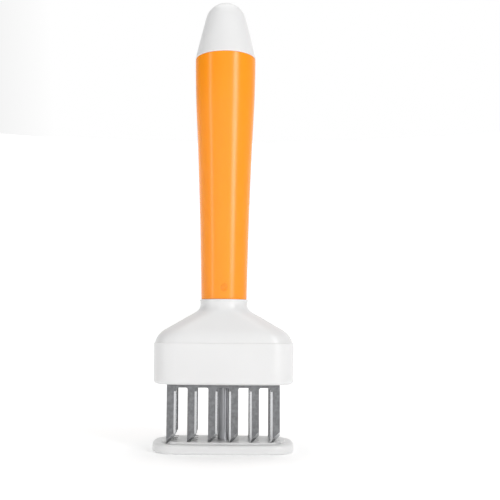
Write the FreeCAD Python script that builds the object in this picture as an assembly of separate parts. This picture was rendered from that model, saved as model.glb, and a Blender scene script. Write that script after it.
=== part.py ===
import FreeCAD, Part
import math
import os

# Blade meat tenderizer: a handle that carries four steel combs of six blades, and a sprung foot plate
# that covers the blade tips until the handle is pressed down.
# Units are millimetres. +Z runs up the handle and X along the head's long side.
# z = 0 is the foot's underside.

# Overall sizes
overall_height = 180.0
head_width = 55.0
head_depth = 30.0
foot_depth_less = 1.0
cap_height = 23.5

# Levels up the axis
head_bottom_z = 26.0
seam_z = 41.9
neck_z = 57.0
grip_bottom_z = 58.7

# Foot plate
foot_thickness = 3.6
foot_edge_round = 1.1
pad_height = 0.6
pad_margin = 3.4
pad_edge_chamfer = 0.25
slot_gap = 0.35
foot_corner_radius = 9.0
foot_side_radius = 200.0
foot_end_radius = 40.0

# Blade combs
comb_rows = 4
row_side_room = 6.0
tines_per_comb = 6
comb_side_room = 11.7
tine_width = 3.5
blade_thickness = 1.0
tip_z = 3.2
tip_angle = 45.0
tip_bevel_width = 1.1
tip_bevel_depth = 0.75
edge_bevel_width = 0.75
edge_bevel_depth = 0.6
root_fillet = 0.7
web_show = 1.3
web_height = 10.3
web_corner_round = 0.8

# Cross pins that hold the combs, with their clips
comb_pin_from_end = 14.0
comb_pin_rise = 5.3
comb_pin_radius = 1.5
comb_pin_from_side = 3.0
clip_radius = 2.9
clip_thickness = 0.6
clip_pocket_radius = 3.3
clip_from_side = 4.1
pin_gap = 0.05

# Blade carrier, inside the skirt
well_gap = 0.1
carrier_gap = 0.3
carrier_recess = 0.8
post_way_gap = 1.0
comb_post_gap = 0.25

# Skirt and shoulder mouldings
skirt_wall = 2.0
skirt_roof = 2.0
skirt_edge_round = 1.3
skirt_top_chamfer = 0.3
head_corner_radius = 9.6
head_side_radius = 220.0
head_end_radius = 42.0
shoulder_wall = 2.0
shoulder_inset = 0.15
shoulder_slope = 60.0
shoulder_round = 8.0
shoulder_round_below = 2.0
neck_waist_radius = 9.3
neck_fillet = 3.5
collar_radius = 9.6
collar_height = 0.9
collar_edge_chamfer = 0.2

# Carrier screws, driven down through the skirt's roof
carrier_screw_from_end = 12.5
carrier_screw_radius = 1.2
carrier_screw_length = 5.6
screw_hole_gap = 0.25
screw_head_radius = 2.4
screw_head_height = 1.6

# Snap tongues that hold the shoulder on the skirt
tongue_from_end = 8.3
tongue_thickness = 1.6
tongue_width = 6.0
tongue_hook = 0.9
tongue_hook_height = 1.3
tongue_gap = 0.3

# Handle grip and its end cap
grip_bottom_radius = 9.0
grip_top_radius = 12.2
grip_waist_along = 0.32
grip_waist_growth = 0.75
grip_swell_along = 0.75
grip_swell_growth = 2.5
grip_wall = 1.9
grip_edge_chamfer = 0.3
spigot_length = 13.3
fit_gap = 0.1
cap_base_radius = 12.35
cap_dome_radius = 8.4
cap_wall = 1.8
cap_spigot_length = 8.5
cap_edge_chamfer = 0.3

# Spring housing inside the handle
tube_radius = 5.6
tube_wall = 1.2
tube_length = 57.0
tube_seat_z = 55.0
spring_seat_depth = 8.0
spring_seat_flange = 1.5
spring_pilot_length = 3.0

# Guide post, its bush and its stop
post_radius = 2.2
post_socket_depth = 2.0
post_thread_radius = 1.2
post_thread_depth = 8.0
running_gap = 0.06
bush_wall = 1.04
bush_flange_gap = 0.2
bush_flange_height = 1.2
bush_length = 5.0
stop_washer_gap = 0.3
stop_washer_thickness = 1.0
stop_screw_head_radius = 2.4
stop_screw_head_height = 1.6
foot_screw_head_radius = 2.5
foot_screw_head_height = 1.4
foot_screw_sink = 0.2
thread_gap = 0.05

# Return spring
spring_wire = 0.8
spring_mean_radius = 3.4
spring_turns = 9
spring_steps_per_turn = 12
spring_wire_sides = 8

# Sizes that follow from the ones above
foot_width = head_width
foot_depth = head_depth - foot_depth_less
grip_top_z = overall_height - cap_height
comb_width = head_width - comb_side_room
tine_pitch = (comb_width - tine_width) / (tines_per_comb - 1)
row_pitch = (head_depth - row_side_room) / comb_rows
comb_pin_x = head_width / 2 - comb_pin_from_end
comb_pin_reach = head_depth / 2 - comb_pin_from_side
clip_seat_y = head_depth / 2 - clip_from_side
carrier_screw_x = head_width / 2 - carrier_screw_from_end
carrier_screw_y = row_pitch
tongue_x = head_width / 2 - tongue_from_end
foot_top_z = foot_thickness + pad_height
web_bottom_z = head_bottom_z - web_show
web_top_z = web_bottom_z + web_height
comb_pin_z = web_bottom_z + comb_pin_rise
skirt_roof_z = seam_z - skirt_roof
post_bottom_z = foot_top_z - post_socket_depth
post_way_radius = post_radius + post_way_gap
bush_radius = post_radius + running_gap + bush_wall
post_top_z = tube_seat_z + bush_flange_height
spring_bottom_z = post_top_z + stop_washer_thickness
tube_top_z = tube_seat_z + tube_length
spring_top_z = tube_top_z - spring_seat_depth
tube_bore_radius = tube_radius - tube_wall
bush_flange_radius = tube_bore_radius - bush_flange_gap
stop_washer_radius = tube_bore_radius - stop_washer_gap
HEAD_PLAN = (head_width / 2, head_depth / 2, head_corner_radius, head_side_radius, head_end_radius)
SHOULDER_PLAN = (head_width / 2 - shoulder_inset, head_depth / 2 - shoulder_inset,
                 head_corner_radius, head_side_radius, head_end_radius)
FOOT_PLAN = (foot_width / 2, foot_depth / 2, foot_corner_radius, foot_side_radius, foot_end_radius)

ORIGIN = FreeCAD.Vector(0, 0, 0)
UP = FreeCAD.Vector(0, 0, 1)
ALONG_Y = FreeCAD.Vector(0, 1, 0)


def vec(x, y, z):
    return FreeCAD.Vector(x, y, z)


def rod(radius, z_low, z_high, x=0.0, y=0.0):
    return Part.makeCylinder(radius, z_high - z_low, vec(x, y, z_low), UP)


def cross_rod(radius, y_low, y_high, x, z):
    return Part.makeCylinder(radius, y_high - y_low, vec(x, y_low, z), ALONG_Y)


def block(x_low, x_high, y_low, y_high, z_low, z_high):
    return Part.makeBox(x_high - x_low, y_high - y_low, z_high - z_low, vec(x_low, y_low, z_low))


def revolve(edges):
    return Part.Face(Part.Wire(edges)).revolve(ORIGIN, UP, 360)


def turned(points):
    """A solid turned about the axis from straight (radius, z) runs."""
    corners = [vec(radius, 0, z) for radius, z in points]
    return revolve(Part.makePolygon(corners + corners[:1]).Edges)


def line(start, end):
    return Part.LineSegment(start, end).toShape()


def quarter_centres(half_width, half_depth, corner, side, end):
    """Centres of a quarter's end, corner and side arcs, and the two angles at which they meet."""
    side_centre = (0, half_depth - side)
    end_centre = (half_width - end, 0)
    side_reach = side - corner
    end_reach = end - corner
    across_x = end_centre[0] - side_centre[0]
    across_y = end_centre[1] - side_centre[1]
    apart = math.hypot(across_x, across_y)
    along = (side_reach ** 2 - end_reach ** 2 + apart ** 2) / (2 * apart)
    off = math.sqrt(side_reach ** 2 - along ** 2)
    corner_centre = (side_centre[0] + (along * across_x + off * across_y) / apart,
                     side_centre[1] + (along * across_y - off * across_x) / apart)
    low_turn = math.atan2(corner_centre[1], corner_centre[0] - end_centre[0])
    high_turn = math.atan2(corner_centre[1] - side_centre[1], corner_centre[0])
    return end_centre, corner_centre, side_centre, low_turn, high_turn


def oval(plan, z, share=1.0, core=0.0, inset=0.0):
    """A closed line of eight arcs at a height.

    plan is (half width, half depth, corner radius, side radius, end radius). A share under 1 draws it
    in towards a circle of radius core, and an inset moves all of it inwards.
    """
    (end_x, end_y), (corner_x, corner_y), (side_x, side_y), low, high = quarter_centres(*plan)
    corner, side, end = plan[2:]
    half = math.pi
    arcs = ((end_x, end_y, end, -low, low), (corner_x, corner_y, corner, low, high),
            (side_x, side_y, side, high, half - high), (-corner_x, corner_y, corner, half - high, half - low),
            (-end_x, end_y, end, half - low, half + low),
            (-corner_x, -corner_y, corner, half + low, half + high),
            (side_x, -side_y, side, half + high, 2 * half - high),
            (corner_x, -corner_y, corner, 2 * half - high, 2 * half - low))
    edges = []
    for x, y, radius, start, stop in arcs:
        reach = core + share * (radius - core) - inset
        points = []
        for turn in (start, (start + stop) / 2, stop):
            points.append(vec(share * x + reach * math.cos(turn), share * y + reach * math.sin(turn), z))
        edges.append(Part.Arc(*points).toShape())
    return Part.Wire(edges)


def oval_block(plan, z_low, z_high, inset=0.0):
    return Part.Face(oval(plan, z_low, inset=inset)).extrude(vec(0, 0, z_high - z_low))


def edges_at(shape, z):
    """The edges of a shape that lie flat at a height."""
    found = []
    for edge in shape.Edges:
        box = edge.BoundBox
        if abs(box.ZMin - z) < 1e-4 and abs(box.ZMax - z) < 1e-4:
            found.append(edge)
    return found


def tine_centres():
    middle = (tines_per_comb - 1) / 2
    return [(index - middle) * tine_pitch for index in range(tines_per_comb)]


def row_centres():
    middle = (comb_rows - 1) / 2
    return [(index - middle) * row_pitch for index in range(comb_rows)]


def shoulder_outline():
    """(half width, z) down the shoulder: neck fillet, straight slope, then the round into the skirt."""
    slope = math.radians(shoulder_slope)
    half_turn = math.tan(slope / 2)
    seam_half_width = head_width / 2 - shoulder_inset
    round_end_z = seam_z - shoulder_round_below
    fillet_centre = (neck_waist_radius + neck_fillet,
                     round_end_z + (shoulder_round + neck_fillet) * half_turn
                     + (seam_half_width - neck_waist_radius) / math.tan(slope))
    round_centre = (seam_half_width - shoulder_round, round_end_z)
    outline = []
    for step in range(5):
        turn = slope * step / 4
        outline.append((fillet_centre[0] - neck_fillet * math.cos(turn),
                        fillet_centre[1] - neck_fillet * math.sin(turn)))
    slope_start = outline[-1]
    slope_end = (round_centre[0] + shoulder_round * math.cos(slope),
                 round_centre[1] + shoulder_round * math.sin(slope))
    for step in range(1, 4):
        outline.append((slope_start[0] + (slope_end[0] - slope_start[0]) * step / 4,
                        slope_start[1] + (slope_end[1] - slope_start[1]) * step / 4))
    seam_turn = math.asin(shoulder_round_below / shoulder_round)
    for step in range(6):
        turn = slope + (seam_turn - slope) * step / 5
        outline.append((round_centre[0] + shoulder_round * math.cos(turn),
                        round_centre[1] + shoulder_round * math.sin(turn)))
    return outline


def shoulder_body(inset, facets):
    """The shoulder from neck to seam, drawn in by a wall thickness; with facets, in straight bands."""
    sections = []
    spread = head_width / 2 - shoulder_inset - neck_waist_radius
    outline = shoulder_outline()
    if facets:
        outline = outline[::-2]
    for half_width, z in outline:
        share = (half_width - neck_waist_radius) / spread
        sections.append(oval(SHOULDER_PLAN, z, share, neck_waist_radius, inset))
    return Part.makeLoft(sections, True, facets)


def make_foot_plate():
    plate = oval_block(FOOT_PLAN, 0, foot_thickness)
    plate = plate.makeFillet(foot_edge_round, edges_at(plate, 0) + edges_at(plate, foot_thickness))
    pad = oval_block(FOOT_PLAN, foot_thickness - 1, foot_top_z, pad_margin)
    pad = pad.makeChamfer(pad_edge_chamfer, edges_at(pad, foot_top_z))
    plate = plate.fuse(pad)
    half_slot_x = tine_width / 2 + slot_gap
    half_slot_y = blade_thickness / 2 + slot_gap
    slots = []
    for y in row_centres():
        for x in tine_centres():
            slots.append(block(x - half_slot_x, x + half_slot_x, y - half_slot_y, y + half_slot_y,
                               -1, foot_top_z + 1))
    plate = plate.cut(Part.makeCompound(slots))
    plate = plate.cut(rod(post_radius + fit_gap / 2, post_bottom_z, foot_top_z + 1))
    plate = plate.cut(rod(post_thread_radius + screw_hole_gap, -1, post_bottom_z + 1))
    plate = plate.cut(foot_screw_head(screw_hole_gap))
    return plate


def foot_screw_head(gap):
    """The countersunk head under the foot, grown by a gap for its seat."""
    top_z = foot_screw_sink + foot_screw_head_height
    low_z = foot_screw_sink
    if gap:
        low_z = -1
    return turned([(0, low_z), (foot_screw_head_radius + gap, low_z),
                   (foot_screw_head_radius + gap, foot_screw_sink),
                   (post_thread_radius + gap, top_z), (0, top_z)])


def make_foot_screw():
    shank = rod(post_thread_radius - thread_gap, foot_screw_sink, post_bottom_z + post_thread_depth - 1)
    slot = block(-foot_screw_head_radius, foot_screw_head_radius, -0.3, 0.3, -1, foot_screw_sink + 0.6)
    return foot_screw_head(0).fuse(shank).cut(slot)


def make_guide_post():
    post = rod(post_radius, post_bottom_z, post_top_z)
    post = post.cut(rod(post_thread_radius, post_bottom_z - 1, post_bottom_z + post_thread_depth))
    return post.cut(rod(post_thread_radius, post_top_z - post_thread_depth, post_top_z + 1))


def make_stop_washer():
    washer = rod(stop_washer_radius, post_top_z, spring_bottom_z)
    return washer.cut(rod(post_thread_radius + screw_hole_gap, post_top_z - 1, spring_bottom_z + 1))


def make_stop_screw():
    head_top_z = spring_bottom_z + stop_screw_head_height
    head = rod(stop_screw_head_radius, spring_bottom_z, head_top_z)
    head = head.makeFillet(0.5, edges_at(head, head_top_z))
    shank = rod(post_thread_radius - thread_gap, post_top_z - post_thread_depth + 1, spring_bottom_z)
    hexagon = []
    for corner in range(6):
        angle = math.radians(60 * corner)
        hexagon.append(vec(1.2 * math.cos(angle), 1.2 * math.sin(angle), head_top_z - 1))
    socket = Part.Face(Part.makePolygon(hexagon + hexagon[:1])).extrude(vec(0, 0, 2))
    return head.fuse(shank).cut(socket)


def make_guide_bush():
    low_z = tube_seat_z - bush_length
    bush = rod(bush_radius, low_z, tube_seat_z).fuse(rod(bush_flange_radius, tube_seat_z, post_top_z))
    return bush.cut(rod(post_radius + running_gap, low_z - 1, post_top_z + 1))


def make_return_spring():
    """An open helix from the stop washer to the spring seat, its wire built of flat facets."""
    rise = spring_top_z - spring_bottom_z - spring_wire
    steps = spring_turns * spring_steps_per_turn
    corner_radius = spring_wire / 2 / math.cos(math.pi / spring_wire_sides)
    rings = []
    for step in range(steps + 1):
        turn = 2 * math.pi * step / spring_steps_per_turn
        out = vec(math.cos(turn), math.sin(turn), 0)
        along = vec(-math.sin(turn), math.cos(turn), rise / (2 * math.pi * spring_turns * spring_mean_radius))
        across = along.normalize().cross(out)
        centre = out * spring_mean_radius + vec(0, 0, spring_bottom_z + spring_wire / 2 + rise * step / steps)
        ring = []
        for corner in range(spring_wire_sides):
            angle = 2 * math.pi * (corner + 0.5) / spring_wire_sides
            reach = out * math.cos(angle) + across * math.sin(angle)
            ring.append(centre + reach * corner_radius)
        rings.append(ring + ring[:1])
    faces = [Part.Face(Part.makePolygon(rings[0])), Part.Face(Part.makePolygon(rings[-1]))]
    for below, above in zip(rings, rings[1:]):
        for side in range(spring_wire_sides):
            first, second, third, fourth = below[side], below[side + 1], above[side + 1], above[side]
            faces.append(Part.Face(Part.makePolygon([first, second, third, first])))
            faces.append(Part.Face(Part.makePolygon([first, third, fourth, first])))
    shell = Part.Shell(faces)
    shell.sewShape()
    return Part.Solid(shell)


def make_spring_tube():
    tube = rod(tube_radius, tube_seat_z, tube_top_z)
    return tube.cut(rod(tube_bore_radius, tube_seat_z - 1, tube_top_z + 1))


def make_spring_seat():
    plug = rod(tube_bore_radius - fit_gap, spring_top_z, tube_top_z)
    plug = plug.fuse(rod(tube_radius, tube_top_z, tube_top_z + spring_seat_flange))
    pilot_radius = spring_mean_radius - spring_wire / 2 - 3 * fit_gap
    pilot = rod(pilot_radius, spring_top_z - spring_pilot_length, spring_top_z)
    pilot = pilot.makeChamfer(0.6, edges_at(pilot, spring_top_z - spring_pilot_length))
    return plug.fuse(pilot)


def comb_outline():
    """One comb in its own plane: a web along the top and six tines with slanted tips."""
    half = comb_width / 2
    slant = tine_width * math.tan(math.radians(tip_angle))
    corners = [(-half, web_top_z)]
    for x in tine_centres():
        left = x - tine_width / 2
        right = x + tine_width / 2
        if left > -half + 1e-6:
            corners.append((left, web_bottom_z))
        corners.append((left, tip_z))
        corners.append((right, tip_z + slant))
        if right < half - 1e-6:
            corners.append((right, web_bottom_z))
    corners.append((half, web_top_z))
    return [vec(x, 0, z) for x, z in corners]


def make_blade_comb(y, facing):
    """One comb of six blades; its ground faces look towards -Y (facing -1) or +Y (facing 1)."""
    corners = comb_outline()
    plate = Part.Face(Part.makePolygon(corners + corners[:1])).extrude(vec(0, blade_thickness, 0))
    roots = []
    for edge in plate.Edges:
        box = edge.BoundBox
        upright = box.YLength > blade_thickness / 2
        inside = abs(box.XMin) < comb_width / 2 - 1e-3
        if upright and inside and abs(box.ZMin - web_bottom_z) < 1e-3:
            roots.append(edge)
    plate = plate.makeFillet(root_fillet, roots)
    tops = []
    for edge in plate.Edges:
        box = edge.BoundBox
        if box.YLength > blade_thickness / 2 and abs(box.ZMin - web_top_z) < 1e-3:
            tops.append(edge)
    plate = plate.makeFillet(web_corner_round, tops)
    slant = tine_width * math.tan(math.radians(tip_angle))
    grinds = []
    for x in tine_centres():
        left = x - tine_width / 2
        right = x + tine_width / 2
        grinds.append(tip_grind(left, right, slant))
        grinds.append(edge_grind(left, right, x < 0))
    plate = plate.cut(Part.makeCompound(grinds))
    for x in (-comb_pin_x, comb_pin_x):
        plate = plate.cut(cross_rod(comb_pin_radius + pin_gap, -1, blade_thickness + 1, x, comb_pin_z))
    if facing > 0:
        plate = plate.mirror(ORIGIN, ALONG_Y)
        plate.translate(vec(0, blade_thickness, 0))
    plate.translate(vec(0, y - blade_thickness / 2, 0))
    return plate.cut(rod(post_radius + comb_post_gap, tip_z, web_top_z + 1))


def wedge(corners, direction):
    return Part.Face(Part.makePolygon(corners + corners[:1])).extrude(direction)


def tip_grind(left, right, slant):
    """The wedge ground off the slanted tip, so that it ends in an edge at the back of the blade."""
    length = math.hypot(right - left, slant)
    along = vec((right - left) / length, 0, slant / length)
    square = vec(-along.z, 0, along.x)
    start = vec(left, 0, tip_z) - along * 2
    corners = [start - square * 1.0 + vec(0, -1, 0),
               start + square * tip_bevel_width + vec(0, -1, 0),
               start + square * tip_bevel_width,
               start + vec(0, tip_bevel_depth, 0),
               start - square * 1.0 + vec(0, tip_bevel_depth, 0)]
    return wedge(corners, along * (length + 4)).common(
        block(left - 1.5, right + 1.5, -2, blade_thickness, tip_z - 3, tip_z + slant + 3))


def edge_grind(left, right, on_right):
    """The wedge ground off a blade's long inner side."""
    edge_x = left
    inward = 1
    if on_right:
        edge_x = right
        inward = -1
    corners = [vec(edge_x - inward, -1, 0), vec(edge_x + inward * edge_bevel_width, -1, 0),
               vec(edge_x + inward * edge_bevel_width, 0, 0), vec(edge_x, edge_bevel_depth, 0),
               vec(edge_x - inward, edge_bevel_depth, 0)]
    low_z = tip_z - 1
    high_z = web_bottom_z - 2 * root_fillet
    grind = wedge(corners, vec(0, 0, high_z - low_z))
    grind.translate(vec(0, 0, low_z))
    return grind


def pin_holes(shape):
    for x in (-comb_pin_x, comb_pin_x):
        shape = shape.cut(cross_rod(comb_pin_radius + pin_gap, -head_depth, head_depth, x, comb_pin_z))
    return shape


def make_comb_spacer(y_low, y_high, x_low, x_high):
    spacer = block(x_low, x_high, y_low, y_high, head_bottom_z + carrier_recess, web_top_z)
    return pin_holes(spacer)


def make_comb_pin(x):
    pin = cross_rod(comb_pin_radius, -comb_pin_reach, comb_pin_reach, x, comb_pin_z)
    ends = []
    for edge in pin.Edges:
        if edge.BoundBox.YLength < 1e-4:
            ends.append(edge)
    return pin.makeChamfer(0.3, ends)


def make_pin_clips():
    clips = []
    for x in (-comb_pin_x, comb_pin_x):
        for y_low in (-clip_seat_y - clip_thickness, clip_seat_y):
            clip = cross_rod(clip_radius, y_low, y_low + clip_thickness, x, comb_pin_z)
            clip = clip.cut(cross_rod(comb_pin_radius + pin_gap, y_low - 1, y_low + 2, x, comb_pin_z))
            notch = block(x - 0.5, x + 0.5, y_low - 1, y_low + 2, comb_pin_z, comb_pin_z + clip_radius + 1)
            clips.append(clip.cut(notch))
    return Part.makeCompound(clips)


def make_blade_carrier():
    low_z = head_bottom_z + carrier_recess
    inset = skirt_wall + carrier_gap
    carrier = oval_block(HEAD_PLAN, low_z, skirt_roof_z, inset)
    half_x = comb_width / 2 + well_gap
    half_y = row_centres()[-1] + blade_thickness / 2
    carrier = carrier.cut(block(-half_x, half_x, -half_y, half_y, low_z - 1, web_top_z))
    carrier = pin_holes(carrier)
    for x in (-comb_pin_x, comb_pin_x):
        carrier = carrier.cut(cross_rod(clip_pocket_radius, clip_seat_y, head_depth, x, comb_pin_z))
        carrier = carrier.cut(cross_rod(clip_pocket_radius, -head_depth, -clip_seat_y, x, comb_pin_z))
    carrier = carrier.cut(rod(post_way_radius, low_z, skirt_roof_z + 1))
    for x, y in carrier_screw_places():
        carrier = carrier.cut(rod(carrier_screw_radius, seam_z - carrier_screw_length - 0.5,
                                  skirt_roof_z + 1, x, y))
    hook_reach = tongue_x + tongue_thickness + tongue_hook + tongue_gap
    hook_floor_z = skirt_roof_z - tongue_gap - tongue_hook_height - tongue_gap
    half_tongue = tongue_width / 2 + tongue_gap
    for side in (-1, 1):
        ends = sorted((side * (tongue_x - tongue_gap), side * hook_reach))
        carrier = carrier.cut(block(ends[0], ends[1], -half_tongue, half_tongue,
                                    hook_floor_z, skirt_roof_z + 1))
    return carrier


def carrier_screw_places():
    return [(x, y) for x in (-carrier_screw_x, carrier_screw_x) for y in (-carrier_screw_y, carrier_screw_y)]


def make_carrier_screws():
    screws = []
    for x, y in carrier_screw_places():
        head = rod(screw_head_radius, seam_z, seam_z + screw_head_height, x, y)
        head = head.makeChamfer(0.5, edges_at(head, seam_z + screw_head_height))
        shank = rod(carrier_screw_radius - thread_gap, seam_z - carrier_screw_length, seam_z, x, y)
        slot = block(x - screw_head_radius, x + screw_head_radius, y - 0.3, y + 0.3,
                     seam_z + screw_head_height / 2, seam_z + 2 * screw_head_height)
        screws.append(head.fuse(shank).cut(slot))
    return Part.makeCompound(screws)


def make_head_skirt():
    skirt = oval_block(HEAD_PLAN, head_bottom_z, seam_z)
    skirt = skirt.makeFillet(skirt_edge_round, edges_at(skirt, head_bottom_z))
    skirt = skirt.makeChamfer(skirt_top_chamfer, edges_at(skirt, seam_z))
    skirt = skirt.cut(oval_block(HEAD_PLAN, head_bottom_z - 1, skirt_roof_z, skirt_wall))
    skirt = skirt.cut(rod(post_way_radius, skirt_roof_z - 1, seam_z + 1))
    for x, y in carrier_screw_places():
        skirt = skirt.cut(rod(carrier_screw_radius + screw_hole_gap, skirt_roof_z - 1, seam_z + 1, x, y))
    half_tongue = tongue_width / 2 + tongue_gap
    for side in (-1, 1):
        ends = sorted((side * (tongue_x - tongue_gap), side * (tongue_x + tongue_thickness + tongue_gap)))
        skirt = skirt.cut(block(ends[0], ends[1], -half_tongue, half_tongue, skirt_roof_z - 1, seam_z + 1))
    return skirt


def make_shoulder_housing():
    outer = shoulder_body(0, False)
    top_z = shoulder_outline()[0][1]
    collar_low_z = grip_bottom_z - collar_height
    neck = turned([(0, top_z), (neck_waist_radius, top_z), (neck_waist_radius, collar_low_z),
                   (collar_radius, collar_low_z + 0.35), (collar_radius, grip_bottom_z), (0, grip_bottom_z)])
    neck = neck.makeChamfer(collar_edge_chamfer, edges_at(neck, grip_bottom_z))
    spigot_top_z = grip_bottom_z + spigot_length
    spigot = rod(grip_bottom_radius - grip_wall - fit_gap, grip_bottom_z, spigot_top_z)
    spigot = spigot.makeChamfer(0.5, edges_at(spigot, spigot_top_z))
    cavity = shoulder_body(shoulder_wall, True)
    cavity = cavity.common(block(-head_width, head_width, -head_depth, head_depth,
                                 seam_z - 1, tube_seat_z - bush_length))
    housing = outer.cut(cavity)
    for side in (-1, 1):
        housing = housing.fuse(snap_tongue(side).common(outer_and_below(outer)))
    housing = housing.fuse([neck, spigot])
    housing = housing.cut(rod(tube_radius + fit_gap, tube_seat_z, spigot_top_z + 1))
    housing = housing.cut(rod(bush_radius + thread_gap, seam_z, tube_seat_z + 1))
    return housing


def outer_and_below(outer):
    """The shoulder's own outline, carried on down through the seam for the tongues."""
    below = block(-head_width, head_width, -head_depth, head_depth, head_bottom_z, seam_z)
    return outer.fuse(below)


def snap_tongue(side):
    hook_top_z = skirt_roof_z - tongue_gap
    hook_low_z = hook_top_z - tongue_hook_height
    profile = [(tongue_x, hook_low_z), (tongue_x + tongue_thickness, hook_low_z),
               (tongue_x + tongue_thickness + tongue_hook, hook_top_z - 0.3),
               (tongue_x + tongue_thickness + tongue_hook, hook_top_z),
               (tongue_x + tongue_thickness, hook_top_z),
               (tongue_x + tongue_thickness, neck_z), (tongue_x, neck_z)]
    corners = [vec(side * x, -tongue_width / 2, z) for x, z in profile]
    return Part.Face(Part.makePolygon(corners + corners[:1])).extrude(vec(0, tongue_width, 0))


def grip_curves():
    """The grip's outer line: a long hollow arc, then a tangent arc that swells out to the top.

    Both stop short of the ends by the edge chamfer.
    """
    length = grip_top_z - grip_bottom_z
    low = vec(grip_bottom_radius, 0, grip_bottom_z)
    waist = vec(grip_bottom_radius + grip_waist_growth, 0, grip_bottom_z + length * grip_waist_along)
    swell = vec(grip_bottom_radius + grip_swell_growth, 0, grip_bottom_z + length * grip_swell_along)
    high = vec(grip_top_radius, 0, grip_top_z)
    hollow = Part.Arc(low, waist, swell)
    heading = hollow.tangent(hollow.LastParameter)[0]
    chord = high - swell
    bend = heading.getAngle(chord)
    outwards = vec(chord.z, 0, -chord.x).normalize()
    crown = (swell + high) / 2 + outwards * (chord.Length / 2 * math.tan(bend / 2))
    closing = Part.Arc(swell, crown, high)
    start = hollow.value(hollow.parameterAtDistance(grip_edge_chamfer, hollow.FirstParameter))
    end = closing.value(closing.parameterAtDistance(-grip_edge_chamfer, closing.LastParameter))
    return [Part.Arc(start, waist, swell).toShape(), Part.Arc(swell, crown, end).toShape()]


def make_grip_sleeve():
    bore_low = grip_bottom_radius - grip_wall
    bore_high = grip_top_radius - grip_wall - 0.3
    socket_z = grip_bottom_z + spigot_length + 0.5
    plug_z = grip_top_z - cap_spigot_length - 0.5
    edges = grip_curves()
    inner = [edges[1].valueAt(edges[1].LastParameter),
             vec(grip_top_radius - grip_edge_chamfer, 0, grip_top_z),
             vec(bore_high, 0, grip_top_z), vec(bore_high, 0, plug_z),
             vec(bore_low, 0, socket_z), vec(bore_low, 0, grip_bottom_z),
             vec(grip_bottom_radius - grip_edge_chamfer, 0, grip_bottom_z),
             edges[0].valueAt(edges[0].FirstParameter)]
    for start, end in zip(inner, inner[1:]):
        edges.append(line(start, end))
    return revolve(edges)


def make_end_cap():
    """A cone that runs into a round dome, hollow, with a spigot that plugs the grip."""
    centre_z = overall_height - cap_dome_radius
    rise = centre_z - grip_top_z
    slope = math.acos(cap_dome_radius / math.hypot(cap_base_radius, rise)) - math.atan2(rise, cap_base_radius)
    meet = vec(cap_dome_radius * math.cos(slope), 0, centre_z + cap_dome_radius * math.sin(slope))
    half_way = (slope + math.pi / 2) / 2
    middle = vec(cap_dome_radius * math.cos(half_way), 0, centre_z + cap_dome_radius * math.sin(half_way))
    summit = vec(0, 0, overall_height)
    base = vec(cap_base_radius, 0, grip_top_z)
    cap = revolve([line(vec(0, 0, grip_top_z), base), line(base, meet),
                   Part.Arc(meet, middle, summit).toShape(), line(summit, vec(0, 0, grip_top_z))])
    cap = cap.makeChamfer(cap_edge_chamfer, edges_at(cap, grip_top_z))
    spigot_radius = grip_top_radius - grip_wall - 0.3 - fit_gap
    spigot_low_z = grip_top_z - cap_spigot_length
    spigot = rod(spigot_radius, spigot_low_z, grip_top_z)
    spigot = spigot.makeChamfer(0.6, edges_at(spigot, spigot_low_z))
    bore = spigot_radius - cap_wall
    roof_z = overall_height - cap_dome_radius
    hollow = turned([(0, spigot_low_z - 1), (bore, spigot_low_z - 1), (bore, grip_top_z),
                     (cap_dome_radius - cap_wall, roof_z), (cap_dome_radius - 2 * cap_wall, roof_z + 2.5),
                     (0, roof_z + 2.5)])
    return cap.fuse(spigot).cut(hollow)


def make_nodes():
    rows = row_centres()
    half_blade = blade_thickness / 2
    edge_x = comb_width / 2 - 0.6
    nodes = {
        "end_cap": make_end_cap(),
        "grip_sleeve": make_grip_sleeve(),
        "shoulder_housing": make_shoulder_housing(),
        "head_skirt": make_head_skirt(),
        "spring_tube": make_spring_tube(),
        "spring_seat": make_spring_seat(),
        "return_spring": make_return_spring(),
        "guide_bush": make_guide_bush(),
        "blade_carrier": make_blade_carrier(),
        "carrier_screws": make_carrier_screws(),
        "comb_pin_left": make_comb_pin(-comb_pin_x),
        "comb_pin_right": make_comb_pin(comb_pin_x),
        "pin_clips": make_pin_clips(),
        "comb_spacer_front": make_comb_spacer(rows[0] + half_blade, rows[1] - half_blade, -edge_x, edge_x),
        "comb_spacer_rear": make_comb_spacer(rows[2] + half_blade, rows[3] - half_blade, -edge_x, edge_x),
        "comb_spacer_middle_left": make_comb_spacer(rows[1] + half_blade, rows[2] - half_blade,
                                                    -edge_x, -post_way_radius),
        "comb_spacer_middle_right": make_comb_spacer(rows[1] + half_blade, rows[2] - half_blade,
                                                     post_way_radius, edge_x),
        "foot_plate": make_foot_plate(),
        "foot_screw": make_foot_screw(),
        "guide_post": make_guide_post(),
        "stop_washer": make_stop_washer(),
        "stop_screw": make_stop_screw(),
    }
    for index, y in enumerate(rows):
        facing = -1
        if y > 0:
            facing = 1
        nodes["blade_comb_%d" % (index + 1)] = make_blade_comb(y, facing)
    return nodes


def main():
    os.makedirs("parts", exist_ok=True)
    for name, shape in make_nodes().items():
        shape.exportStep("parts/%s.step" % name)
        print("%-26s solids %d valid %s volume %.1f"
              % (name, len(shape.Solids), shape.isValid(), shape.Volume))


main()
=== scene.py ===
"""Looks for a blade meat tenderizer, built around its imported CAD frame.

Units are metres in the CAD frame: +Z runs up the handle, X along the head's long side, and the
foot plate's underside is at z = 0. The file is laid out as a Blender add-on and is run as a script.
"""

import math

import bmesh
import bpy
from mathutils import Euler, Matrix, Vector


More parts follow.
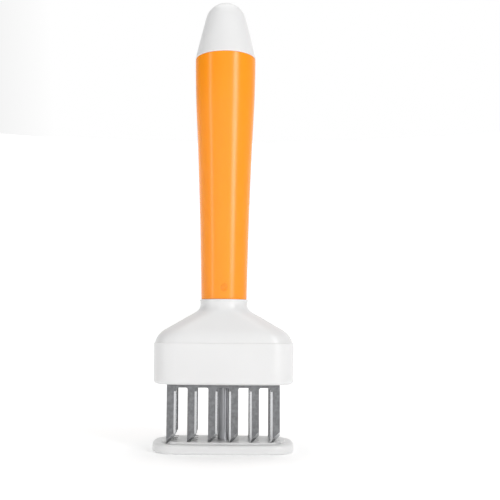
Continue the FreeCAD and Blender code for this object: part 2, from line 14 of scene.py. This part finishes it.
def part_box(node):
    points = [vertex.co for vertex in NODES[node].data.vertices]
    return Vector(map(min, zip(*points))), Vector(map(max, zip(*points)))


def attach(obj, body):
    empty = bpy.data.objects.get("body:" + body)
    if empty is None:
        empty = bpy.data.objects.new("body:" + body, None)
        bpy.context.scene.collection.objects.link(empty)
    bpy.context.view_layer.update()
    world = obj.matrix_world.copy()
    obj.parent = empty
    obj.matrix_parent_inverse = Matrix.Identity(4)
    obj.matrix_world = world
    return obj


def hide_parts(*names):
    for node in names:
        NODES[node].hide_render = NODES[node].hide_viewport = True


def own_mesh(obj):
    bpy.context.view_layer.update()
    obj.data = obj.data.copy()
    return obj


bl_info = {
    "name": "Blade Tenderizer Looks",
    "version": (1, 0, 0),
    "blender": (4, 5, 0),
    "location": "3D View > Sidebar > Tenderizer",
    "description": "Materials, small details and a pale studio for a blade meat tenderizer",
    "category": "Object",
}

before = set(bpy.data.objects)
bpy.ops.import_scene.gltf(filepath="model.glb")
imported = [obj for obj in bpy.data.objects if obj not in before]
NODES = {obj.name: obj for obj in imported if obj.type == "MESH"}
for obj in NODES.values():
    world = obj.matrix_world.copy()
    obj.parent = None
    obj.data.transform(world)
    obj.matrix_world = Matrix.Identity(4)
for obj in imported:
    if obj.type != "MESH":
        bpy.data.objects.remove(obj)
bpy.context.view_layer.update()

MM = 0.001

WHITE_MOULDINGS = ("end_cap", "shoulder_housing", "head_skirt", "foot_plate")
INNER_PLASTICS = ("spring_tube", "spring_seat", "guide_bush", "blade_carrier", "comb_spacer_front",
                  "comb_spacer_rear", "comb_spacer_middle_left", "comb_spacer_middle_right")
BLADE_COMBS = ("blade_comb_1", "blade_comb_2", "blade_comb_3", "blade_comb_4")
UPRIGHT_METAL = ("guide_post", "stop_washer", "stop_screw", "foot_screw", "carrier_screws")
CROSS_METAL = ("comb_pin_left", "comb_pin_right", "pin_clips")

# The spring, as its CAD node and its joint have it
SPRING_TURNS = 9
SPRING_CAD_WIRE = 0.8 * MM
# Each end turn climbs a little more than the wire's own thickness, so that the ends look closed
SPRING_END_RISE = 1.15
# Fine enough that the wire looks round and evenly bent
SPRING_STEPS_PER_TURN = 32
SPRING_WIRE_SIDES = 14

# The gate mark is centred low on the grip's front and is a little taller than it is wide
GATE_MARK_HEIGHT = 63.2 * MM
GATE_MARK_STRETCH = 1.2
GATE_MARK_STEPS = 40
# Its outer edge is sunk by a hair, so that no gap shows under it
GATE_MARK_SINK = 0.004 * MM
# From the rim inwards: share of the mark's radius, and height above the grip in mm
GATE_MARK_RINGS = ((1.0, 0.0), (0.84, 0.2), (0.72, 0.2), (0.55, 0.012), (0.3, 0.02), (0.12, 0.05))
GATE_MARK_TIP = 0.06 * MM
# The plastic is a little darker where it was torn from the gate
GATE_SCAR_SHADE = 0.88

# The parting lines stop short of the grip's chamfered ends
PARTING_LINE_MARGIN = 0.6 * MM
PARTING_LINE_RISE = 0.03 * MM
PARTING_LINE_STEPS = 90
# Across the line: share of its width, and share of its rise (sunk by a hair at both edges)
PARTING_LINE_PROFILE = ((-0.5, -0.02), (-0.2, 1.0), (0.2, 1.0), (0.5, -0.02))

# Rays that look for the grip's surface start well outside it
RAY_START = 0.05

# The camera stands in front of the object, as far off as the photograph's perspective says
CAMERA_DISTANCE = 0.330
CAMERA_HEIGHT = 0.049
CAMERA_PITCH = 5.12
CAMERA_ROLL = 0.4
CAMERA_LENS = 59.6
CAMERA_SENSOR = 36.0
CAMERA_SHIFT = 0.0514

# Light that comes through the studio paper from behind, so that it stays near white in shade
PAPER_GLOW = 0.45
PAPER_GLOW_NEAR = 0.2
# The glow grows from the first distance from the middle to the second, so a soft shadow stays near
PAPER_GLOW_GROWS = (0.03, 0.4)
# It fades over these distances to the left and right, which dims what the sides reflect
PAPER_GLOW_FADES = (0.7, 1.6)

# The floor is flat out to the last of these radii, then curls up on a bend through this angle
FLOOR_RADII = (0.05, 0.2, 0.6, 1.1)
FLOOR_BEND = 0.6
FLOOR_CURL = 80
FLOOR_BEND_STEPS = 12
FLOOR_STEPS_AROUND = 96

# Brightness of the surround along an axis: axis, from, to, brightness there and there
SURROUND = (
    ("Z", 0.5, 0.8, 1.0, 0.78),
    ("Y", -0.6, 0.3, 0.52, 1.0),
    ("X", -0.85, -0.2, 0.05, 1.0),
    ("X", 0.35, 0.85, 1.0, 0.35),
)

# Lights: name, place, width and height, watts. The left one draws a thin highlight down the grip, the
# right one a broad one, and the top one whitens the cap and shoulder
LIGHT_TARGET = (0, 0, 0.09)
LIGHTS = (
    ("strip_left", (-0.62, -0.36, 0.25), (0.04, 0.7), 0.8),
    ("soft_right", (0.6, -0.72, 0.35), (0.26, 0.6), 3.2),
    ("soft_top", (0.0, 0.1, 1.2), (0.9, 0.9), 4.0),
)


def linear_colour(code):
    """An sRGB hex colour such as "#F4F4F2" as linear red, green, blue and alpha."""
    values = []
    for start in (1, 3, 5):
        value = int(code[start:start + 2], 16) / 255
        if value <= 0.04045:
            values.append(value / 12.92)
        else:
            values.append(((value + 0.055) / 1.055) ** 2.4)
    return (*values, 1.0)


def shade(colour, share):
    """The colour with its channels scaled by a share, and its alpha kept."""
    return tuple(channel * share for channel in colour[:3]) + (1.0,)


# Sizes and colours that a user would change

class TenderizerColours(bpy.types.PropertyGroup):
    """Colours of the tenderizer's materials and of the floor"""
    white: bpy.props.FloatVectorProperty(
        name="White mouldings", description="Colour of the cap, shoulder, skirt and foot",
        subtype="COLOR", size=4, min=0.0, max=1.0, default=linear_colour("#E0E0E0"))
    grip: bpy.props.FloatVectorProperty(
        name="Grip", description="Colour of the handle's grip",
        subtype="COLOR", size=4, min=0.0, max=1.0, default=linear_colour("#FF960F"))
    natural: bpy.props.FloatVectorProperty(
        name="Inner plastics", description="Colour of the uncoloured plastic inside",
        subtype="COLOR", size=4, min=0.0, max=1.0, default=linear_colour("#E2DFD3"))
    blade: bpy.props.FloatVectorProperty(
        name="Blade steel", description="Colour of the blades' rolled faces",
        subtype="COLOR", size=4, min=0.0, max=1.0, default=linear_colour("#848587"))
    ground: bpy.props.FloatVectorProperty(
        name="Ground edges", description="Colour of the blades' freshly ground edges",
        subtype="COLOR", size=4, min=0.0, max=1.0, default=linear_colour("#D6D7D9"))
    bright: bpy.props.FloatVectorProperty(
        name="Bright steel", description="Colour of the post, pins, screws and spring",
        subtype="COLOR", size=4, min=0.0, max=1.0, default=linear_colour("#B4B5B8"))
    floor: bpy.props.FloatVectorProperty(
        name="Floor", description="Colour of the studio's floor",
        subtype="COLOR", size=4, min=0.0, max=1.0, default=linear_colour("#FAFAFA"))


class TenderizerSizes(bpy.types.PropertyGroup):
    """Sizes of the small details, and the lights' strength"""
    spring_wire: bpy.props.FloatProperty(
        name="Spring wire", description="Diameter of the return spring's wire",
        subtype="DISTANCE", unit="LENGTH", default=0.8 * MM, min=0.3 * MM, max=0.9 * MM)
    gate_mark_width: bpy.props.FloatProperty(
        name="Gate mark", description="Width of the oval mark left by the mould's gate on the grip",
        subtype="DISTANCE", unit="LENGTH", default=2.8 * MM, min=1.0 * MM, max=4.0 * MM)
    parting_line_width: bpy.props.FloatProperty(
        name="Parting line", description="Width of the fine line along each side of the grip",
        subtype="DISTANCE", unit="LENGTH", default=0.16 * MM, min=0.05 * MM, max=0.4 * MM)
    light_strength: bpy.props.FloatProperty(
        name="Light", description="Share of the studio lights' full strength",
        subtype="FACTOR", default=1.0, min=0.0, max=3.0)


# Shader helpers

# Places of the Mix node's colour sockets, which share their names with its other sockets
COLOUR_A = 6
COLOUR_B = 7
COLOUR_RESULT = 2


def add_node(material, kind, settings=None, links=None):
    """Adds a node, sets its properties and sockets, and links its inputs to other nodes' outputs."""
    tree = material.node_tree
    node = tree.nodes.new(kind)
    for name, value in (settings or {}).items():
        if isinstance(name, str) and name not in node.inputs:
            setattr(node, name, value)
        else:
            node.inputs[name].default_value = value
    for socket, source in (links or {}).items():
        tree.links.new(source, node.inputs[socket])
    return node


def new_material(name):
    """A material with no nodes yet."""
    material = bpy.data.materials.new(name)
    material.use_nodes = True
    material.node_tree.nodes.clear()
    return material


def finish_material(material, shader):
    """Links the shader to the material's output, and returns the finished material."""
    add_node(material, "ShaderNodeOutputMaterial", links={"Surface": shader.outputs[0]})
    return material


def ramp(material, source, low, high, start, end):
    """Maps a value between low and high onto the range from start to end."""
    node = add_node(material, "ShaderNodeMapRange",
                    {"From Min": low, "From Max": high, "To Min": start, "To Max": end},
                    {"Value": source})
    return node.outputs["Result"]


def noise(material, place, size_mm, detail=2.0, roughness=0.5):
    """Noise whose blobs are about a given size, in mm."""
    node = add_node(material, "ShaderNodeTexNoise",
                    {"Scale": 1.0 / (size_mm * MM), "Detail": detail, "Roughness": roughness},
                    {"Vector": place})
    return node.outputs["Fac"]


def stretched(material, scale):
    """Object coordinates scaled along each axis; the grain runs out long where the scale is below 1."""
    place = add_node(material, "ShaderNodeTexCoord").outputs["Object"]
    node = add_node(material, "ShaderNodeMapping", {"Scale": scale}, {"Vector": place})
    return node.outputs["Vector"]


def shaded(material, factor, colour, darker):
    """The colour, darkened by up to a share where the factor is low."""
    node = add_node(material, "ShaderNodeMix",
                    {"data_type": "RGBA", COLOUR_A: shade(colour, 1 - darker), COLOUR_B: tuple(colour)},
                    {"Factor": factor})
    return node.outputs[COLOUR_RESULT]


def bumped(material, height, depth_mm):
    """A normal roughened by a height that reaches a given depth, in mm."""
    node = add_node(material, "ShaderNodeBump", {"Strength": 1.0, "Distance": depth_mm * MM},
                    {"Height": height})
    return node.outputs["Normal"]


# Materials

def moulded_abs(name, colour):
    """Moulded ABS: opaque, a satin gloss, a fine spark-eroded skin and faint flow marks from the gate."""
    material = new_material(name)
    place = add_node(material, "ShaderNodeTexCoord").outputs["Object"]
    flow = noise(material, stretched(material, (1.0, 1.0, 0.6)), size_mm=16.0, detail=2.0)
    skin = noise(material, place, size_mm=0.45, detail=3.0, roughness=0.5)
    tint = shaded(material, ramp(material, flow, 0.35, 0.65, 0.0, 1.0), colour, darker=0.02)
    normal = bumped(material, skin, depth_mm=0.0012)
    shader = add_node(material, "ShaderNodeBsdfPrincipled", {"IOR": 1.54, "Roughness": 0.3},
                      {"Base Color": tint, "Normal": normal})
    return finish_material(material, shader)


def satin_polypropylene(name, colour):
    """Satin polypropylene: a deep even colour, slightly waxy, with a soft broad highlight."""
    material = new_material(name)
    place = add_node(material, "ShaderNodeTexCoord").outputs["Object"]
    flow = noise(material, stretched(material, (1.0, 1.0, 0.12)), size_mm=6.0, detail=2.0)
    skin = noise(material, place, size_mm=0.5, detail=3.0, roughness=0.5)
    tint = shaded(material, ramp(material, flow, 0.3, 0.7, 0.0, 1.0), colour, darker=0.04)
    normal = bumped(material, skin, depth_mm=0.0015)
    shader = add_node(material, "ShaderNodeBsdfPrincipled",
                      {"IOR": 1.49, "Roughness": 0.25,
                       "Subsurface Weight": 0.08, "Subsurface Scale": 1.0 * MM},
                      {"Base Color": tint, "Normal": normal})
    return finish_material(material, shader)


def natural_acetal(name, colour):
    """Uncoloured acetal: a milky, matt off-white with faint clouds, that lets a little light in."""
    material = new_material(name)
    place = add_node(material, "ShaderNodeTexCoord").outputs["Object"]
    cloud = noise(material, place, size_mm=6.0, detail=3.0)
    skin = noise(material, place, size_mm=0.6, detail=3.0)
    tint = shaded(material, cloud, colour, darker=0.08)
    dull = ramp(material, skin, 0.3, 0.7, 0.42, 0.55)
    normal = bumped(material, skin, depth_mm=0.01)
    shader = add_node(material, "ShaderNodeBsdfPrincipled",
                      {"IOR": 1.48, "Subsurface Weight": 0.1, "Subsurface Scale": 1.0 * MM},
                      {"Base Color": tint, "Roughness": dull, "Normal": normal})
    return finish_material(material, shader)


def rolled_stainless(name, rolled_colour, ground_colour):
    """Rolled stainless strip: grey satin faces with a faint mottle and long roll marks, and bright
    facets where the edges have been ground."""
    material = new_material(name)
    place = add_node(material, "ShaderNodeTexCoord").outputs["Object"]
    mottle = noise(material, place, size_mm=1.4, detail=4.0, roughness=0.65)
    # Roll marks are about 0.05 mm apart; 0.25 mm here, as finer ones would not show
    marks = noise(material, stretched(material, (0.05, 1.0, 1.0)), size_mm=0.25, detail=3.0, roughness=0.6)
    # Grinding marks cross the edge, 0.12 mm apart
    strokes = noise(material, stretched(material, (1.0, 1.0, 2.0)), size_mm=0.24, detail=2.0)
    # The strip's flat faces look along Y, and whatever looks elsewhere is a ground edge
    geometry = add_node(material, "ShaderNodeNewGeometry")
    facing = add_node(material, "ShaderNodeSeparateXYZ", links={"Vector": geometry.outputs["True Normal"]})
    flat = add_node(material, "ShaderNodeMath", {"operation": "ABSOLUTE"}, {0: facing.outputs["Y"]})
    ground = ramp(material, flat.outputs[0], 0.9, 0.98, 1.0, 0.0)
    rolled_tint = shaded(material, ramp(material, mottle, 0.38, 0.62, 0.0, 1.0), rolled_colour, darker=0.3)
    ground_tint = shaded(material, strokes, ground_colour, darker=0.15)
    tint = add_node(material, "ShaderNodeMix", {"data_type": "RGBA"},
                    {"Factor": ground, COLOUR_A: rolled_tint, COLOUR_B: ground_tint})
    rolled_dull = ramp(material, mottle, 0.3, 0.7, 0.34, 0.46)
    dull = add_node(material, "ShaderNodeMix", {"data_type": "FLOAT", "B": 0.24},
                    {"Factor": ground, "A": rolled_dull})
    normal = bumped(material, marks, depth_mm=0.003)
    shader = add_node(material, "ShaderNodeBsdfPrincipled", {"Metallic": 1.0, "Anisotropic": 0.3},
                      {"Base Color": tint.outputs[COLOUR_RESULT], "Roughness": dull.outputs[0],
                       "Normal": normal})
    return finish_material(material, shader)


def turned_steel(name, colour, upright):
    """Bright turned steel: fine rings round its axis from the tool, and a streaked reflection."""
    material = new_material(name)
    place = add_node(material, "ShaderNodeTexCoord").outputs["Object"]
    # Rings about 0.08 mm apart are drawn at 0.3 mm, so that they show
    stretch = (0.04, 0.04, 1.0) if upright else (0.04, 1.0, 0.04)
    rings = noise(material, stretched(material, stretch), size_mm=0.3, detail=3.0, roughness=0.6)
    cloud = noise(material, place, size_mm=3.0, detail=3.0)
    tint = shaded(material, cloud, colour, darker=0.1)
    dull = ramp(material, rings, 0.3, 0.7, 0.3, 0.42)
    normal = bumped(material, rings, depth_mm=0.003)
    shader = add_node(material, "ShaderNodeBsdfPrincipled", {"Metallic": 1.0},
                      {"Base Color": tint, "Roughness": dull, "Normal": normal})
    return finish_material(material, shader)


def drawn_wire(name, colour):
    """Drawn spring wire: bright steel, darker in the die's fine marks."""
    material = new_material(name)
    place = add_node(material, "ShaderNodeTexCoord").outputs["Object"]
    marks = noise(material, place, size_mm=0.4, detail=4.0, roughness=0.6)
    tint = shaded(material, marks, colour, darker=0.2)
    dull = ramp(material, marks, 0.3, 0.7, 0.2, 0.36)
    normal = bumped(material, marks, depth_mm=0.005)
    shader = add_node(material, "ShaderNodeBsdfPrincipled", {"Metallic": 1.0},
                      {"Base Color": tint, "Roughness": dull, "Normal": normal})
    return finish_material(material, shader)


def studio_paper(name, colour):
    """Pale studio paper, lit from behind: matt, with the faintest grain."""
    material = new_material(name)
    place = add_node(material, "ShaderNodeTexCoord").outputs["Object"]
    grain = noise(material, place, size_mm=1.5, detail=3.0)
    tint = shaded(material, grain, colour, darker=0.01)
    normal = bumped(material, grain, depth_mm=0.01)
    axes = add_node(material, "ShaderNodeSeparateXYZ", links={"Vector": place}).outputs
    aside = add_node(material, "ShaderNodeMath", {"operation": "ABSOLUTE"}, {0: axes["X"]})
    wide = ramp(material, aside.outputs[0], *PAPER_GLOW_FADES, 1.0, 0.0)
    reach = add_node(material, "ShaderNodeVectorMath", {"operation": "LENGTH"}, {0: place})
    far = ramp(material, reach.outputs["Value"], *PAPER_GLOW_GROWS, PAPER_GLOW_NEAR, PAPER_GLOW)
    glow = add_node(material, "ShaderNodeMath", {"operation": "MULTIPLY"}, {0: wide, 1: far}).outputs[0]
    shader = add_node(material, "ShaderNodeBsdfPrincipled",
                      {"Roughness": 0.95, "Specular IOR Level": 0.1, "Emission Color": tuple(colour)},
                      {"Base Color": tint, "Normal": normal, "Emission Strength": glow})
    return finish_material(material, shader)


def give(names, material):
    """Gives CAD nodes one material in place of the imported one."""
    for name in names:
        slots = NODES[name].data.materials
        slots.clear()
        slots.append(material)


# Mesh helpers

def mesh_object(name, points, faces, material):
    """A smoothly shaded mesh in the scene, with its faces turned outwards and one material."""
    mesh = bpy.data.meshes.new(name)
    mesh.from_pydata([tuple(point) for point in points], [], faces)
    mesh.validate()
    mesh.update()
    shell = bmesh.new()
    shell.from_mesh(mesh)
    bmesh.ops.recalc_face_normals(shell, faces=shell.faces)
    shell.to_mesh(mesh)
    shell.free()
    for face in mesh.polygons:
        face.use_smooth = True
    mesh.materials.append(material)
    piece = bpy.data.objects.new(name, mesh)
    bpy.context.scene.collection.objects.link(piece)
    return piece


def ring_faces(first, rings, around):
    """Four-cornered faces between rings of points that follow one another, from the first point on."""
    faces = []
    for ring in range(rings - 1):
        low = first + ring * around
        high = low + around
        for step in range(around):
            follow = (step + 1) % around
            faces.append((low + step, low + follow, high + follow, high + step))
    return faces


def tube_mesh(centres, outs, ups, radius, sides):
    """Points and faces of a closed round tube along centres, with its own cross directions."""
    points = []
    for centre, out, up in zip(centres, outs, ups):
        for side in range(sides):
            angle = 2 * math.pi * side / sides
            points.append(centre + out * (radius * math.cos(angle)) + up * (radius * math.sin(angle)))
    faces = ring_faces(0, len(centres), sides)
    faces.append(tuple(range(sides - 1, -1, -1)))
    last = (len(centres) - 1) * sides
    faces.append(tuple(range(last, last + sides)))
    return points, faces


def surface_point(node, start, direction):
    """Where a straight line first meets a CAD node."""
    hit, place, _, _ = NODES[node].ray_cast(Vector(start), Vector(direction))
    if not hit:
        raise RuntimeError("the line from %s does not meet %s" % (tuple(start), node))
    return place


# Pieces

def make_return_spring(wire, material):
    """A round-wire helix with a closed turn at each end, in the place of its faceted CAD node."""
    low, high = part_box("return_spring")
    mean_radius = (high.x - low.x - SPRING_CAD_WIRE) / 2
    bottom = low.z + wire / 2
    top = high.z - wire / 2
    steps = SPRING_TURNS * SPRING_STEPS_PER_TURN
    end_rise = SPRING_END_RISE * wire
    body_rise = (top - bottom - 2 * end_rise) / (SPRING_TURNS - 2)
    centres = []
    outs = []
    ups = []
    for step in range(steps + 1):
        turns = step / SPRING_STEPS_PER_TURN
        if turns < 1:
            z = bottom + end_rise * turns
        elif turns < SPRING_TURNS - 1:
            z = bottom + end_rise + body_rise * (turns - 1)
        else:
            z = top - end_rise * (SPRING_TURNS - turns)
        angle = 2 * math.pi * turns
        out = Vector((math.cos(angle), math.sin(angle), 0))
        centres.append(out * mean_radius + Vector((0, 0, z)))
        outs.append(out)
        ups.append(Vector((0, 0, 1)))
    points, faces = tube_mesh(centres, outs, ups, wire / 2, SPRING_WIRE_SIDES)
    spring = mesh_object("return_spring_wire", points, faces, material)
    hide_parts("return_spring")
    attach(spring, "handle")
    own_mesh(spring)
    return spring


def make_gate_mark(width, material):
    """The oval mark of the mould's gate, low on the grip's front: a shallow cup with a fine rim."""
    outwards = Vector((0, -1, 0))
    around = GATE_MARK_STEPS
    points = []
    for share, proud in GATE_MARK_RINGS:
        for step in range(around):
            angle = 2 * math.pi * step / around
            x = width / 2 * share * math.cos(angle)
            z = GATE_MARK_HEIGHT + width / 2 * GATE_MARK_STRETCH * share * math.sin(angle)
            place = surface_point("grip_sleeve", (x, -RAY_START, z), (0, 1, 0))
            points.append(place + outwards * (proud * MM - GATE_MARK_SINK))
    faces = ring_faces(0, len(GATE_MARK_RINGS), around)
    place = surface_point("grip_sleeve", (0, -RAY_START, GATE_MARK_HEIGHT), (0, 1, 0))
    points.append(place + outwards * GATE_MARK_TIP)
    tip = len(points) - 1
    last = (len(GATE_MARK_RINGS) - 1) * around
    for step in range(around):
        faces.append((last + step, last + (step + 1) % around, tip))
    mark = mesh_object("grip_gate_mark", points, faces, material)
    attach(mark, "handle")
    return mark


def make_parting_line(name, side, width, material):
    """The hair of plastic where the grip mould's halves met, along one side."""
    low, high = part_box("grip_sleeve")
    start = low.z + PARTING_LINE_MARGIN
    length = high.z - low.z - 2 * PARTING_LINE_MARGIN
    row = len(PARTING_LINE_PROFILE)
    points = []
    faces = []
    for step in range(PARTING_LINE_STEPS + 1):
        z = start + length * step / PARTING_LINE_STEPS
        for across, proud in PARTING_LINE_PROFILE:
            place = surface_point("grip_sleeve", (side * RAY_START, across * width, z), (-side, 0, 0))
            points.append(place + Vector((side, 0, 0)) * (proud * PARTING_LINE_RISE))
    for step in range(PARTING_LINE_STEPS):
        for strip in range(row - 1):
            first = step * row + strip
            faces.append((first, first + 1, first + row + 1, first + row))
    for step in (0, PARTING_LINE_STEPS):
        faces.append(tuple(range(step * row, step * row + row)))
    line = mesh_object(name, points, faces, material)
    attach(line, "handle")
    return line


# The studio

def make_floor(colour):
    """A wide pale floor whose rim curls up all round, so that no edge shows from any side."""
    around = FLOOR_STEPS_AROUND
    profile = [(radius, 0.0) for radius in FLOOR_RADII]
    for step in range(1, FLOOR_BEND_STEPS + 1):
        turn = math.radians(FLOOR_CURL) * step / FLOOR_BEND_STEPS
        radius = FLOOR_RADII[-1] + FLOOR_BEND * math.sin(turn)
        profile.append((radius, FLOOR_BEND - FLOOR_BEND * math.cos(turn)))
    points = [Vector((0, 0, 0))]
    for radius, z in profile:
        for step in range(around):
            angle = 2 * math.pi * step / around
            points.append(Vector((radius * math.cos(angle), radius * math.sin(angle), z)))
    faces = [(0, 1 + step, 1 + (step + 1) % around) for step in range(around)]
    faces += ring_faces(1, len(profile), around)
    floor = mesh_object("studio_floor", points, faces, studio_paper("studio paper", colour))


def make_light(name, place, size, power):
    """A soft white rectangular light that faces the object and isn't seen itself."""
    data = bpy.data.lights.new(name, "AREA")
    data.shape = "RECTANGLE"
    data.size = size[0]
    data.size_y = size[1]
    data.energy = power
    light = bpy.data.objects.new(name, data)
    light.location = place
    light.rotation_euler = (Vector(LIGHT_TARGET) - Vector(place)).to_track_quat("-Z", "Y").to_euler()
    light.visible_camera = False
    bpy.context.scene.collection.objects.link(light)


def make_world():
    """A white surround behind the object, softer overhead and in front, and dimmed at the sides."""
    world = bpy.data.worlds.new("studio surround")
    world.use_nodes = True
    world.node_tree.nodes.clear()
    direction = add_node(world, "ShaderNodeTexCoord").outputs["Generated"]
    axes = add_node(world, "ShaderNodeSeparateXYZ", links={"Vector": direction}).outputs
    shares = [ramp(world, axes[axis], *values) for axis, *values in SURROUND]
    strength = shares[0]
    for share in shares[1:]:
        product = add_node(world, "ShaderNodeMath", {"operation": "MULTIPLY"}, {0: strength, 1: share})
        strength = product.outputs[0]
    background = add_node(world, "ShaderNodeBackground", {"Color": linear_colour("#FFFFFF")},
                          {"Strength": strength})
    add_node(world, "ShaderNodeOutputWorld", links={"Surface": background.outputs[0]})
    bpy.context.scene.world = world


def make_camera():
    """The camera at the photograph's angle, with everything sharp."""
    data = bpy.data.cameras.new("camera")
    data.sensor_width = CAMERA_SENSOR
    data.lens = CAMERA_LENS
    data.shift_x = CAMERA_SHIFT
    data.clip_start = 0.01
    data.clip_end = 20.0
    camera = bpy.data.objects.new("camera", data)
    aim = Euler((math.radians(90 + CAMERA_PITCH), 0, 0)).to_matrix()
    roll = Matrix.Rotation(math.radians(CAMERA_ROLL), 3, "Z")
    camera.matrix_world = Matrix.Translation((0, -CAMERA_DISTANCE, CAMERA_HEIGHT)) @ (aim @ roll).to_4x4()
    bpy.context.scene.collection.objects.link(camera)
    bpy.context.scene.camera = camera


# Operators

class TenderizerWhiteMouldings(bpy.types.Operator):
    """Finish the cap, shoulder, skirt and foot plate as white moulded ABS"""
    bl_idname = "tenderizer.white_mouldings"
    bl_label = "White Mouldings"

    def execute(self, context):
        colours = context.scene.tenderizer_colours
        give(WHITE_MOULDINGS, moulded_abs("white moulded ABS", colours.white))
        return {"FINISHED"}


class TenderizerGrip(bpy.types.Operator):
    """Finish the grip as satin polypropylene, with its gate mark and parting lines"""
    bl_idname = "tenderizer.grip"
    bl_label = "Grip"

    def execute(self, context):
        colours = context.scene.tenderizer_colours
        sizes = context.scene.tenderizer_sizes
        satin = satin_polypropylene("orange satin PP", colours.grip)
        give(("grip_sleeve",), satin)
        scar = shade(colours.grip, GATE_SCAR_SHADE)
        make_gate_mark(sizes.gate_mark_width, satin_polypropylene("orange PP, gate scar", scar))
        make_parting_line("grip_parting_line_left", -1, sizes.parting_line_width, satin)
        make_parting_line("grip_parting_line_right", 1, sizes.parting_line_width, satin)
        return {"FINISHED"}


class TenderizerInnerPlastics(bpy.types.Operator):
    """Finish the carrier, spacers, bush and spring housing as natural acetal"""
    bl_idname = "tenderizer.inner_plastics"
    bl_label = "Inner Plastics"

    def execute(self, context):
        colours = context.scene.tenderizer_colours
        give(INNER_PLASTICS, natural_acetal("natural acetal", colours.natural))
        return {"FINISHED"}


class TenderizerBlades(bpy.types.Operator):
    """Finish the four blade combs as rolled stainless strip with ground edges"""
    bl_idname = "tenderizer.blades"
    bl_label = "Blades"

    def execute(self, context):
        colours = context.scene.tenderizer_colours
        give(BLADE_COMBS, rolled_stainless("rolled stainless strip", colours.blade, colours.ground))
        return {"FINISHED"}


class TenderizerMetalFittings(bpy.types.Operator):
    """Finish the post, pins, clips, washer and screws as bright turned steel"""
    bl_idname = "tenderizer.metal_fittings"
    bl_label = "Metal Fittings"

    def execute(self, context):
        colours = context.scene.tenderizer_colours
        give(UPRIGHT_METAL, turned_steel("turned steel, upright", colours.bright, True))
        give(CROSS_METAL, turned_steel("turned steel, across", colours.bright, False))
        return {"FINISHED"}


class TenderizerReturnSpring(bpy.types.Operator):
    """Wind the return spring from round drawn wire"""
    bl_idname = "tenderizer.return_spring"
    bl_label = "Return Spring"

    def execute(self, context):
        colours = context.scene.tenderizer_colours
        sizes = context.scene.tenderizer_sizes
        make_return_spring(sizes.spring_wire, drawn_wire("drawn spring wire", colours.bright))
        return {"FINISHED"}


class TenderizerStudio(bpy.types.Operator):
    """Set up the pale floor, the soft lights and the camera"""
    bl_idname = "tenderizer.studio"
    bl_label = "Studio"

    def execute(self, context):
        colours = context.scene.tenderizer_colours
        share = context.scene.tenderizer_sizes.light_strength
        context.scene.view_settings.view_transform = "Standard"
        make_floor(colours.floor)
        make_world()
        for name, place, size, power in LIGHTS:
            make_light(name, place, size, power * share)
        make_camera()
        return {"FINISHED"}


class TenderizerPanel(bpy.types.Panel):
    """Lists the tenderizer's colours, sizes and steps"""
    bl_idname = "VIEW3D_PT_tenderizer"
    bl_label = "Blade Tenderizer"
    bl_space_type = "VIEW_3D"
    bl_region_type = "UI"
    bl_category = "Tenderizer"

    def draw(self, context):
        layout = self.layout
        for group in (context.scene.tenderizer_colours, context.scene.tenderizer_sizes):
            box = layout.box()
            for name in group.bl_rna.properties.keys():
                if name not in ("rna_type", "name"):
                    box.prop(group, name)
        for operator in OPERATORS:
            layout.operator(operator.bl_idname)


OPERATORS = (TenderizerWhiteMouldings, TenderizerGrip, TenderizerInnerPlastics, TenderizerBlades,
             TenderizerMetalFittings, TenderizerReturnSpring, TenderizerStudio)
CLASSES = (TenderizerColours, TenderizerSizes) + OPERATORS + (TenderizerPanel,)


def register():
    """Adds the add-on's classes and its settings to Blender."""
    for item in CLASSES:
        bpy.utils.register_class(item)
    bpy.types.Scene.tenderizer_colours = bpy.props.PointerProperty(type=TenderizerColours)
    bpy.types.Scene.tenderizer_sizes = bpy.props.PointerProperty(type=TenderizerSizes)


def unregister():
    """Takes the add-on's settings and classes out again."""
    del bpy.types.Scene.tenderizer_sizes
    del bpy.types.Scene.tenderizer_colours
    for item in reversed(CLASSES):
        bpy.utils.unregister_class(item)


def main():
    """Registers the add-on and runs its steps in order."""
    register()
    bpy.ops.tenderizer.white_mouldings()
    bpy.ops.tenderizer.grip()
    bpy.ops.tenderizer.inner_plastics()
    bpy.ops.tenderizer.blades()
    bpy.ops.tenderizer.metal_fittings()
    bpy.ops.tenderizer.return_spring()
    bpy.ops.tenderizer.studio()


if __name__ == "__main__":
    main()
